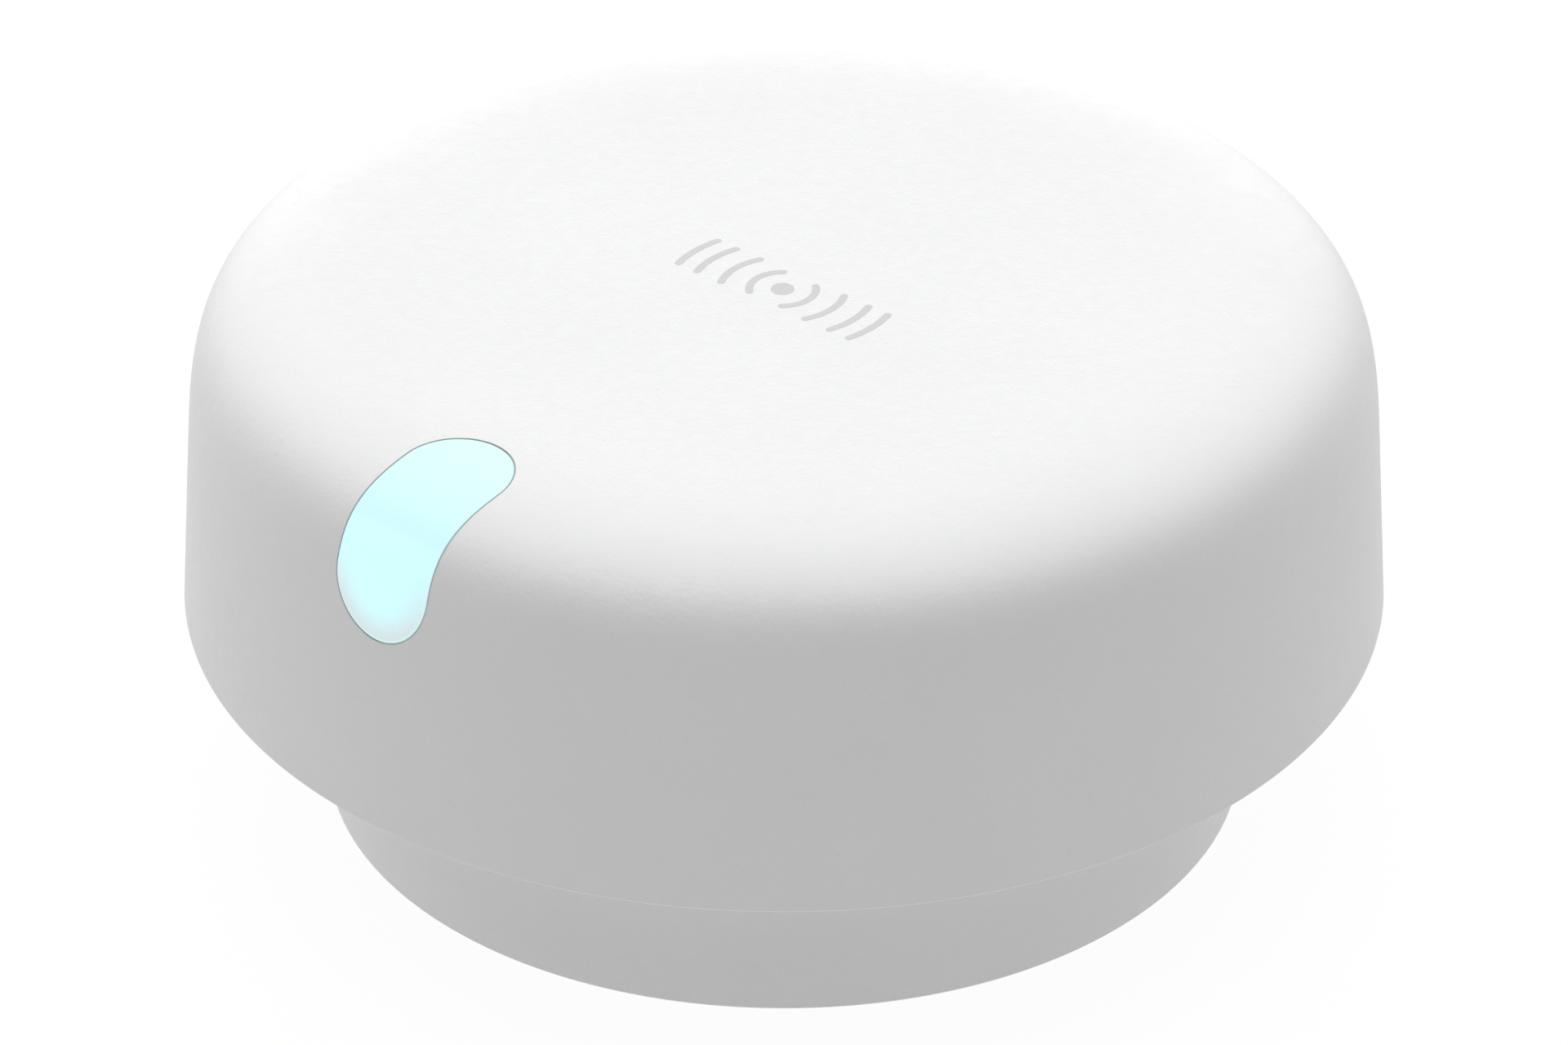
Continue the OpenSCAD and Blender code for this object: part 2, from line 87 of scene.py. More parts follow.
def build_world():
    world = bpy.data.worlds.new("studio")
    scene.world = world
    world.use_nodes = True
    nt = world.node_tree
    nt.nodes.clear()
    out = nt.nodes.new("ShaderNodeOutputWorld")
    bg = nt.nodes.new("ShaderNodeBackground")
    nt.links.new(bg.outputs[0], out.inputs[0])
    tc = nt.nodes.new("ShaderNodeTexCoord")
    total = None
    for w, axis, p, colour in LOBES:
        if axis is None:
            v = nt.nodes.new("ShaderNodeValue")
            v.outputs[0].default_value = w
            value = v.outputs[0]
        else:
            d = Vector(DIRS[axis]) if isinstance(axis, str) else Vector(axis)
            dot = nt.nodes.new("ShaderNodeVectorMath")
            dot.operation = "DOT_PRODUCT"
            dot.inputs[1].default_value = d.normalized()
            nt.links.new(tc.outputs["Generated"], dot.inputs[0])
            mx = nt.nodes.new("ShaderNodeMath")
            mx.operation = "MAXIMUM"
            mx.inputs[1].default_value = 0
            nt.links.new(dot.outputs["Value"], mx.inputs[0])
            pw = nt.nodes.new("ShaderNodeMath")
            pw.operation = "POWER"
            pw.inputs[1].default_value = p
            nt.links.new(mx.outputs[0], pw.inputs[0])
            sc = nt.nodes.new("ShaderNodeMath")
            sc.operation = "MULTIPLY"
            sc.inputs[1].default_value = w
            nt.links.new(pw.outputs[0], sc.inputs[0])
            value = sc.outputs[0]
        cm = nt.nodes.new("ShaderNodeVectorMath")
        cm.operation = "SCALE"
        cm.inputs[0].default_value = colour
        nt.links.new(value, cm.inputs["Scale"])
        term = cm.outputs[0]
        if total is None:
            total = term
        else:
            ad = nt.nodes.new("ShaderNodeVectorMath")
            ad.operation = "ADD"
            nt.links.new(total, ad.inputs[0])
            nt.links.new(term, ad.inputs[1])
            total = ad.outputs[0]
    nt.links.new(total, bg.inputs["Color"])
    bg.inputs["Strength"].default_value = 1.0


build_world()

# ------------------------------------------------------------------ the drum's profile (mm)
PUCK_R, H, RIM_Z, DRAFT, WALL = 32.0, 29.5, 11.14, 0.0562, 2.0
SLOPE = math.sqrt(1 + DRAFT * DRAFT)
WIN_W, WIN_L, WIN_Y, GAP, LENS_T = 6.3, 11.7, 0.73, 0.07, 1.5
FACE_END, SIDE_END = 2.43, 2.75  # depth of the two rounded ends
USB_Z = 16.4 + 1.2 + 1.63


def side_r(z):
    return PUCK_R - (z - RIM_Z) * DRAFT


B0 = np.array([side_r(H - 7.745), H - 7.745])
CN = np.array([side_r(H), H])
B3 = np.array([CN[0] - 12.02, H])
B1 = B0 + (CN - B0) * 0.926
B2 = B3 + (CN - B3) * 0.887


def blend_curve(t):
    t = np.asarray(t)[:, None]
    p = (1 - t) ** 3 * B0 + 3 * (1 - t) ** 2 * t * B1 + 3 * (1 - t) * t * t * B2 + t ** 3 * B3
    d = (1 - t) ** 2 * (B1 - B0) + 2 * (1 - t) * t * (B2 - B1) + t * t * (B3 - B2)
    n = np.stack([d[:, 1], -d[:, 0]], 1)
    return p, n / np.linalg.norm(n, axis=1)[:, None]


class Profile:
    """A surface of revolution at a depth under the drum's skin, from the axis to a lowest height."""

    def __init__(self, depth, z_low, fine=True):
        t = np.linspace(1, 0, 161)
        p, n = blend_curve(t)
        pts = [np.array([[0.0, H]]), p, np.array([[side_r(z_low), z_low]])]
        nrm = [np.array([[0.0, 1.0]]), n, np.array([[1.0, DRAFT]]) / SLOPE]
        # dense rows on the flat and on the side
        f = np.linspace(0, 1, 60)[:-1, None]
        flat = f * p[0]
        flat[:, 1] = H
        g = np.linspace(0, 1, 60)[1:, None]
        side = p[-1] + g * (np.array([side_r(z_low), z_low]) - p[-1])
        P = np.concatenate([flat, p, side])
        N = np.concatenate([np.tile([0.0, 1.0], (len(flat), 1)), n, np.tile(np.array([1.0, DRAFT]) / SLOPE, (len(side), 1))])
        P = P - depth * N
        keep = P[:, 1] >= z_low - 1e-6
        P, N = P[keep], N[keep]
        P[0, 0] = 0
        if P[-1, 1] > z_low:
            zz = z_low
            P = np.concatenate([P, [[P[-1, 0] + (P[-1, 1] - zz) * DRAFT, zz]]])
            N = np.concatenate([N, N[-1:]])
        self.s = np.concatenate([[0], np.cumsum(np.linalg.norm(np.diff(P, axis=0), axis=1))])
        self.P, self.N = P, N

    def at(self, s):
        r = np.interp(s, self.s, self.P[:, 0])
        z = np.interp(s, self.s, self.P[:, 1])
        nr = np.interp(s, self.s, self.N[:, 0])
        nz = np.interp(s, self.s, self.N[:, 1])
        k = np.hypot(nr, nz)
        return r, z, nr / k, nz / k

    def point(self, s, th):
        r, z, nr, nz = self.at(s)
        c, si = np.cos(th), np.sin(th)
        return np.stack([r * c, r * si, z], -1), np.stack([nr * c, nr * si, nz], -1)

    def from_window(self, lx, ly):
        """(s, theta) of the point of the skin that lies over the window-plane point (lx, ly)."""
        lx, ly = np.atleast_1d(lx), np.atleast_1d(ly)
        out = np.empty(len(lx))
        for i, (x, y) in enumerate(zip(lx, ly)):
            rr = self.P[:, 0]
            ok = rr > abs(x) + 1e-6
            yy = np.sqrt(np.maximum(rr[ok] ** 2 - x * x, 0))
            l = (yy - self.P[ok, 1]) * C45
            out[i] = np.interp(y, l, self.s[ok])
        r, z, _, _ = self.at(out)
        return out, np.arctan2(np.sqrt(np.maximum(r * r - lx * lx, 0)), lx)

    def from_port(self, x, z):
        s = np.interp(-np.asarray(z), -self.P[1:, 1] + np.arange(len(self.P) - 1) * 1e-9, self.s[1:])
        r, _, _, _ = self.at(s)
        return s, np.arctan2(-np.sqrt(r * r - np.asarray(x) ** 2), x)


def pill(w, l, n_arc, n_side, grow=0.0):
    """A stadium's points and outward normals, long axis along the second coordinate, counter-clockwise."""
    r, hh = w / 2, (l - w) / 2
    P, N = [], []
    for k in range(n_arc):
        a = math.pi * k / n_arc
        N.append((math.cos(a), math.sin(a)))
        P.append((r * math.cos(a), hh + r * math.sin(a)))
    for k in range(n_side):
        N.append((-1, 0))
        P.append((-r, hh - 2 * hh * k / n_side))
    for k in range(n_arc):
        a = math.pi + math.pi * k / n_arc
        N.append((math.cos(a), math.sin(a)))
        P.append((r * math.cos(a), -hh + r * math.sin(a)))
    for k in range(n_side):
        N.append((1, 0))
        P.append((r, -hh + 2 * hh * k / n_side))
    P, N = np.array(P, float), np.array(N, float)
    return P + N * grow, N


def pill_inside(x, y, w, l, grow=0.0):
    r, hh = w / 2 + grow, (l - w) / 2
    return np.hypot(x, np.maximum(np.abs(y) - hh, 0)) < r


def window_outline(n_arc, n_side, grow=0.0):
    """The window's outline in its own plane, second coordinate running down over the edge, counter-clockwise."""
    a, b0, b1 = WIN_W / 2 + grow, FACE_END + grow, SIDE_END + grow
    h0, h1 = WIN_L / 2 - FACE_END, WIN_L / 2 - SIDE_END
    P, N = [], []
    for s, b, h in ((1, b1, h1), (-1, b0, h0)):
        for k in range(n_arc):
            t = math.pi * k / n_arc
            n = np.array([math.cos(t) / a, math.sin(t) / b])
            N.append(s * n / np.linalg.norm(n))
            P.append((s * a * math.cos(t), s * (h + b * math.sin(t))))
        for k in range(n_side):
            N.append(np.array([-s, 0.0]))
            P.append((-s * a, s * (h - (h0 + h1) * k / n_side)))
    return np.array(P, float), np.array(N, float)


def window_inside(x, y, grow=0.0):
    """True where a window-plane point lies within the outline grown by a distance."""
    a, b = WIN_W / 2 + grow, (SIDE_END if y > 0 else FACE_END)
    q = max(abs(y) - (WIN_L / 2 - b), 0.0) / (b + grow)
    return (x / a) ** 2 + q * q < 1


class Builder:
    """Collects points, normals and faces in mm and makes one mesh object."""

    def __init__(self):
        self.v, self.n, self.f = [], [], []

    def add(self, pts, nrm):
        i0 = len(self.v)
        self.v.extend(map(tuple, pts))
        self.n.extend(map(tuple, nrm))
        return list(range(i0, i0 + len(pts)))

    def strip(self, a, b, closed=True, flip=False):
        m = len(a)
        for i in range(m if closed else m - 1):
            j = (i + 1) % m
            q = (a[i], a[j], b[j], b[i])
            self.f.append(q[::-1] if flip else q)

    def fan(self, loop, centre, flip=False):
        m = len(loop)
        for i in range(m):
            t = (loop[i], loop[(i + 1) % m], centre)
            self.f.append(t[::-1] if flip else t)

    def make(self, name, mat, body, smooth=True):
        me = bpy.data.meshes.new(name)
        V, N = np.array(self.v, float), np.array(self.n, float)
        faces = []
        for f in self.f:
            f = [k for i, k in enumerate(f) if k != f[i - 1]]
            if len(f) < 3:
                continue
            p = V[f]
            g = np.zeros(3)
            for i in range(1, len(f) - 1):
                g += np.cross(p[i] - p[0], p[i + 1] - p[0])
            faces.append(f[::-1] if g @ N[f].sum(0) < 0 else f)
        me.from_pydata([(x * MM, y * MM, z * MM) for x, y, z in self.v], [], faces)
        me.validate()
        me.polygons.foreach_set("use_smooth", [smooth] * len(me.polygons))
        if smooth:
            nn = np.array(self.n, float)
            nn /= np.maximum(np.linalg.norm(nn, axis=1), 1e-9)[:, None]
            me.normals_split_custom_set_from_vertices(nn.tolist())
        me.update()
        ob = bpy.data.objects.new(name, me)
        scene.collection.objects.link(ob)
        me.materials.append(mat)
        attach(ob, body)
        return ob


def plane_mesh(b, to3d, loops, extra, keep, flip=False):
    """Triangulates a flat parameter domain with given boundary loops (already added vertex ids) and extra points."""
    coords, ids, edges = [], [], []
    for pts, vid in loops:
        k0 = len(coords)
        coords += [Vector(p) for p in pts]
        ids += list(vid)
        m = len(pts)
        edges += [(k0 + i, k0 + (i + 1) % m) for i in range(m)]
    p3, n3 = to3d(np.array(extra))
    ex = b.add(p3, n3)
    coords += [Vector(p) for p in extra]
    ids += ex
    vo, eo, fo, ov, oe, of_ = delaunay_2d_cdt(coords, edges, [], 0, 1e-7)
    back_ = [o[0] if len(o) else -1 for o in ov]
    V = np.array([(p.x, p.y) for p in vo])
    for tri in fo:
        if any(back_[k] < 0 for k in tri):
            continue
        c = V[list(tri)].mean(0)
        if not keep(c):
            continue
        t = [ids[back_[k]] for k in tri]
        b.f.append(tuple(t[::-1]) if flip else tuple(t))


# ------------------------------------------------------------------ procedural materials
def new_mat(name):
    m = bpy.data.materials.new(name)
    m.use_nodes = True
    nt = m.node_tree
    nt.nodes.clear()
    out = nt.nodes.new("ShaderNodeOutputMaterial")
    bs = nt.nodes.new("ShaderNodeBsdfPrincipled")
    nt.links.new(bs.outputs[0], out.inputs[0])
    tc = nt.nodes.new("ShaderNodeTexCoord")
    return m, nt, bs, tc.outputs["Object"]


def noise(nt, vec, scale, detail=2.0, rough=0.5):
    n = nt.nodes.new("ShaderNodeTexNoise")
    n.inputs["Scale"].default_value = scale
    n.inputs["Detail"].default_value = detail
    n.inputs["Roughness"].default_value = rough
    nt.links.new(vec, n.inputs["Vector"])
    return n.outputs["Fac"]


def ramp(nt, fac, stops):
    r = nt.nodes.new("ShaderNodeValToRGB")
    while len(r.color_ramp.elements) < len(stops):
        r.color_ramp.elements.new(0.5)
    for e, (p, c) in zip(r.color_ramp.elements, stops):
        e.position = p
        e.color = (c, c, c, 1) if isinstance(c, (int, float)) else (*c, 1)
    nt.links.new(fac, r.inputs[0])
    return r.outputs[0]


def maprange(nt, val, a, b, c, d, smooth=False):
    r = nt.nodes.new("ShaderNodeMapRange")
    r.clamp = True
    if smooth:
        r.interpolation_type = "SMOOTHSTEP"
    for k, v in zip(("From Min", "From Max", "To Min", "To Max"), (a, b, c, d)):
        r.inputs[k].default_value = v
    nt.links.new(val, r.inputs["Value"])
    return r.outputs[0]


def math_node(nt, op, a, b=None):
    m = nt.nodes.new("ShaderNodeMath")
    m.operation = op
    for i, x in enumerate((a, b)):
        if x is None:
            continue
        if isinstance(x, (int, float)):
            m.inputs[i].default_value = x
        else:
            nt.links.new(x, m.inputs[i])
    return m.outputs[0]


def mix_color(nt, fac, a, b):
    m = nt.nodes.new("ShaderNodeMix")
    m.data_type = "RGBA"
    if isinstance(fac, (int, float)):
        m.inputs[0].default_value = fac
    else:
        nt.links.new(fac, m.inputs[0])
    for i, x in ((6, a), (7, b)):
        if isinstance(x, tuple):
            m.inputs[i].default_value = (*x, 1)
        else:
            nt.links.new(x, m.inputs[i])
    return m.outputs[2]


def bump(nt, bs, height, strength, dist):
    b = nt.nodes.new("ShaderNodeBump")
    b.inputs["Strength"].default_value = strength
    b.inputs["Distance"].default_value = dist
    nt.links.new(height, b.inputs["Height"])
    nt.links.new(b.outputs[0], bs.inputs["Normal"])


def tint(c, k):
    return tuple(max(0.0, min(1.0, x * k)) for x in c)


def moulded(name, base, rough=0.5, grain=0.00025, depth=0.00003, strength=1.0, vary=0.015, spec=0.5):
    """Spark-eroded moulded plastic: fine pitted grain, faint flow mottling, uneven gloss."""
    m, nt, bs, vec = new_mat(name)
    g1 = noise(nt, vec, 1 / grain, 3.0, 0.6)
    g2 = noise(nt, vec, 1 / (grain * 3.2), 2.0, 0.5)
    mott = noise(nt, vec, 90.0, 3.0, 0.55)
    f = maprange(nt, mott, 0.3, 0.7, 0.0, 1.0)
    col = mix_color(nt, f, tint(base, 1 - vary), tint(base, 1 + vary * 0.5))
    pit = maprange(nt, g1, 0.28, 0.42, 0.0, 1.0)
    nt.links.new(mix_color(nt, pit, tint(base, 0.97), col), bs.inputs["Base Color"])
    nt.links.new(maprange(nt, g2, 0.3, 0.7, rough - 0.05, rough + 0.06), bs.inputs["Roughness"])
    hgt = math_node(nt, "ADD", math_node(nt, "MULTIPLY", g1, 0.7), math_node(nt, "MULTIPLY", g2, 0.5))
    bump(nt, bs, hgt, strength, depth)
    bs.inputs["Specular IOR Level"].default_value = spec
    return m


def metal(name, base, rough=0.3, grain=(1, 1, 1), scale=900.0, strength=0.25, depth=0.000006, tone=0.12):
    """Plated or brushed metal: directional scratches, patchy gloss, slight tarnish."""
    m, nt, bs, vec = new_mat(name)
    mp = nt.nodes.new("ShaderNodeMapping")
    mp.inputs["Scale"].default_value = grain
    nt.links.new(vec, mp.inputs["Vector"])
    s = noise(nt, mp.outputs[0], scale, 4.0, 0.6)
    t = noise(nt, vec, 220.0, 3.0, 0.6)
    nt.links.new(mix_color(nt, maprange(nt, t, 0.35, 0.7, 0, 1), base, tint(base, 1 - tone)), bs.inputs["Base Color"])
    nt.links.new(maprange(nt, s, 0.3, 0.7, rough - 0.08, rough + 0.12), bs.inputs["Roughness"])
    bs.inputs["Metallic"].default_value = 1.0
    bump(nt, bs, s, strength, depth)
    return m


def board(name, mask, copper, scale=700.0):
    """Circuit board: solder mask over traces, with plated dots."""
    m, nt, bs, vec = new_mat(name)
    br = nt.nodes.new("ShaderNodeTexBrick")
    br.inputs["Scale"].default_value = scale
    br.inputs["Mortar Size"].default_value = 0.06
    br.inputs["Row Height"].default_value = 0.5
    br.inputs["Brick Width"].default_value = 2.6
    nt.links.new(vec, br.inputs["Vector"])
    vo = nt.nodes.new("ShaderNodeTexVoronoi")
    vo.inputs["Scale"].default_value = 420.0
    nt.links.new(vec, vo.inputs["Vector"])
    dots = math_node(nt, "LESS_THAN", vo.outputs["Distance"], 0.11)
    patch = maprange(nt, noise(nt, vec, 160.0, 2.0), 0.47, 0.53, 0, 1)
    tr = math_node(nt, "MULTIPLY", br.outputs["Fac"], patch)
    c1 = mix_color(nt, tr, mask, tint(mask, 1.9))
    nt.links.new(mix_color(nt, dots, c1, copper), bs.inputs["Base Color"])
    nt.links.new(maprange(nt, noise(nt, vec, 500.0, 2.0), 0.3, 0.7, 0.22, 0.38), bs.inputs["Roughness"])
    bump(nt, bs, math_node(nt, "ADD", tr, dots), 0.35, 0.00002)
    return m


WHITE = (0.7125, 0.7125, 0.7125)
M = {}
M["housing_plastic"] = moulded("housing_plastic", WHITE, 0.48)
M["cover_plastic"] = moulded("cover_plastic", (0.70, 0.70, 0.70), 0.5)
# the stand's white is a little lighter than the housing's: painted light making up for the shade the drum casts over
# the foot
M["stand_plastic"] = moulded("stand_plastic", (0.748, 0.748, 0.748), 0.5)
M["light_guide"] = moulded("light_guide", (0.72, 0.78, 0.78), 0.35, strength=0.15)
M["reflector_plastic"] = moulded("reflector_plastic", (0.88, 0.88, 0.87), 0.55)
M["clear_silicone"] = moulded("clear_silicone", (0.66, 0.67, 0.67), 0.42, grain=0.0003, strength=0.2)
M["grey_plastic"] = moulded("grey_plastic", (0.15, 0.155, 0.16), 0.5, grain=0.0002)
M["black_plastic"] = moulded("black_plastic", (0.022, 0.022, 0.024), 0.42, grain=0.00012)
M["ivory_plastic"] = moulded("ivory_plastic", (0.70, 0.66, 0.54), 0.42)
M["glide_plastic"] = moulded("glide_plastic", (0.72, 0.70, 0.63), 0.33, strength=0.2)
M["thermal_pad"] = moulded("thermal_pad", (0.34, 0.22, 0.30), 0.7, grain=0.0004, strength=0.5, depth=0.00003)
M["seal_rubber"] = moulded("seal_rubber", (0.035, 0.035, 0.037), 0.6, grain=0.0002, strength=0.5)
M["foot_rubber"] = moulded("foot_rubber", (0.36, 0.37, 0.38), 0.72, grain=0.0005, strength=0.6, depth=0.00003)
M["ferrite"] = moulded("ferrite", (0.07, 0.07, 0.075), 0.62, grain=0.0001, strength=0.6)
M["capacitor"] = moulded("capacitor", (0.28, 0.19, 0.11), 0.45, grain=0.0002)
M["ribbon"] = moulded("ribbon", (0.50, 0.20, 0.03), 0.25, grain=0.0006, strength=0.15)
M["circuit_board"] = board("circuit_board", (0.010, 0.075, 0.032), (0.80, 0.55, 0.25))
M["radar_board"] = board("radar_board", (0.012, 0.050, 0.022), (0.85, 0.60, 0.28), 900.0)
M["gold"] = metal("gold", (0.92, 0.66, 0.28), 0.28, scale=2500)
M["aluminium"] = metal("aluminium", (0.72, 0.73, 0.74), 0.42, scale=3000, strength=0.5, depth=0.00001)
M["bright_metal"] = metal("bright_metal", (0.66, 0.66, 0.67), 0.26, (1, 6, 1))
M["steel"] = metal("steel", (0.56, 0.57, 0.58), 0.32, (1, 1, 5))
M["spring_steel"] = metal("spring_steel", (0.42, 0.43, 0.45), 0.3, (6, 1, 1))
M["steel_plate"] = metal("steel_plate", (0.50, 0.51, 0.52), 0.36, (8, 1, 1))
M["magnet"] = metal("magnet", (0.62, 0.62, 0.61), 0.2, scale=500, strength=0.1)


def lens_material():
    """Milky lens lit from behind: a cyan field, paler towards its low end, with a thin painted highlight along its
    cut edge and a dim glow on its side wall as painted shade in the gap.
    """
    m, nt, bs, vec = new_mat("lens")
    sp = nt.nodes.new("ShaderNodeSeparateXYZ")
    nt.links.new(vec, sp.inputs[0])
    ly = math_node(nt, "MULTIPLY", math_node(nt, "SUBTRACT", sp.outputs[1], sp.outputs[2]), C45)
    ly = math_node(nt, "SUBTRACT", ly, WIN_Y * MM)
    lx = sp.outputs[0]
    a = (WIN_W / 2 - GAP) * MM
    # distance inwards from the outline, with the oval ends stretched to half circles
    up = math_node(nt, "MAXIMUM", math_node(nt, "SUBTRACT", math_node(nt, "MULTIPLY", ly, -1.0), (WIN_L / 2 - FACE_END) * MM), 0.0)
    dn = math_node(nt, "MAXIMUM", math_node(nt, "SUBTRACT", ly, (WIN_L / 2 - SIDE_END) * MM), 0.0)
    yy = math_node(nt, "ADD", math_node(nt, "MULTIPLY", up, a / MM / (FACE_END - GAP)), math_node(nt, "MULTIPLY", dn, a / MM / (SIDE_END - GAP)))
    q = math_node(nt, "SQRT", math_node(nt, "ADD", math_node(nt, "MULTIPLY", lx, lx), math_node(nt, "MULTIPLY", yy, yy)))
    edge = math_node(nt, "SUBTRACT", a, q)
    grain = noise(nt, vec, 1 / 0.00009, 2.0, 0.6)
    wob = math_node(nt, "MULTIPLY", math_node(nt, "SUBTRACT", grain, 0.5), 0.0011)
    band = maprange(nt, math_node(nt, "ADD", edge, wob), 0.0, 0.0016, 1.0, 0.0, True)
    along = maprange(nt, ly, 0.0018, 0.0051, 0.0, 1.0, True)
    fade = math_node(nt, "MULTIPLY", band, along)
    # painted highlight: a thin bright band just inside the cut edge, strongest towards the low end
    rim_highlight = math_node(nt, "MULTIPLY", maprange(nt, edge, 0.00004, 0.00012, 1.0, 0.0, True), maprange(nt, ly, 0.0, 0.004, 0.0, 1.0))
    lit = mix_color(nt, fade, LENS_LIT, LENS_PALE)
    face = maprange(nt, ly, -0.0002, 0.0015, 0.0, 1.0, True)
    lit = mix_color(nt, face, LENS_FACE, lit)
    lit = mix_color(nt, rim_highlight, lit, LENS_RIM_HIGHLIGHT)
    # painted shade: the lens's side wall glows only dim grey, standing in for the shade of the narrow gap
    top = maprange(nt, edge, 0.000005, 0.000025, 0.0, 1.0)
    nt.links.new(mix_color(nt, top, LENS_WALL_GAP_SHADE, lit), bs.inputs["Emission Color"])
    bs.inputs["Emission Strength"].default_value = LENS_GLOW
    nt.links.new(mix_color(nt, fade, (0.26, 0.36, 0.37), (0.30, 0.37, 0.37)), bs.inputs["Base Color"])
    nt.links.new(maprange(nt, grain, 0.3, 0.7, 0.34, 0.46), bs.inputs["Roughness"])
    bs.inputs["Specular IOR Level"].default_value = 0.35
    bump(nt, bs, grain, 0.2, 0.00001)
    return m


# light that the lens gives off: its field on the side, its pale low end, on the face; a painted highlight at the cut
# edge; a dim glow on the side wall, painted shade in the gap
LENS_LIT = (0.46, 0.725, 0.75)
LENS_PALE = (0.452, 0.50, 0.515)
LENS_FACE = (0.385, 0.60, 0.615)
LENS_RIM_HIGHLIGHT = (0.47, 0.66, 0.68)
LENS_WALL_GAP_SHADE = (0.20, 0.24, 0.24)
M["lens"] = lens_material()
M["print"] = moulded("face_print", (0.50, 0.50, 0.505), 0.45, strength=0.25)

record_slots = {s["node"]: s["material_slot"] for s in frame["record"]["subparts"]}
for name, ob in nodes.items():
    mat = M[record_slots[name]]
    if ob.material_slots:
        for sl in ob.material_slots:
            sl.material = mat
    else:
        ob.data.materials.append(mat)

# ------------------------------------------------------------------ drum shell
N_ARC, N_SIDE = 26, 16


def window_loop(prof, grow, drop=0.0, tilt=0.0, lens=False):
    """A loop round the window on a skin: points, normals turned by tilt from the skin's normal to the wall's."""
    P, N = window_outline(N_ARC, N_SIDE, grow - (GAP if lens else 0))
    lx, ly = P[:, 0], P[:, 1] + WIN_Y
    s, th = prof.from_window(lx, ly)
    p, n = prof.point(s, th)
    p = p - drop * np.array([0, C45, C45])
    wall = np.stack([N[:, 0], N[:, 1] * C45, -N[:, 1] * C45], -1) * (1 if lens else -1)
    nn = n * math.cos(tilt) + wall * math.sin(tilt)
    return p, nn, s, th


def port_loop(w, hgt, grow, y=None, prof=None, drop=0.0, tilt=0.0):
    """A loop round the port: on a skin, or flat at y."""
    Q, N = pill(hgt, w, N_ARC, N_SIDE, grow)
    x, z = -Q[:, 1], USB_Z + Q[:, 0]
    wall = -np.stack([-N[:, 1], np.zeros(len(N)), N[:, 0]], -1)
    if prof is not None:
        s, th = prof.from_port(x, z)
        p, n = prof.point(s, th)
        p = p + np.array([0, drop, 0])
        return p, n * math.cos(tilt) + wall * math.sin(tilt), s, th
    p = np.stack([x, np.full(len(x), -y), z], -1)
    n = np.array([0, -1.0, 0]) * math.cos(tilt) + wall * math.sin(tilt)
    return p, n, None, None


def polar(s, th):
    return np.stack([s * np.cos(th), s * np.sin(th)], -1)


def skin_grid(prof, rows, n_th, s_end, avoid):
    pts = [(0.0, 0.0)]
    for k, s in enumerate(rows):
        m = n_th if s > 6 else max(12, int(n_th * s / 6))
        off = 0.5 * (k % 2)
        th = (np.arange(m) + off) * 2 * math.pi / m
        for t in th:
            if not avoid(s, t):
                pts.append((s * math.cos(t), s * math.sin(t)))
    return pts


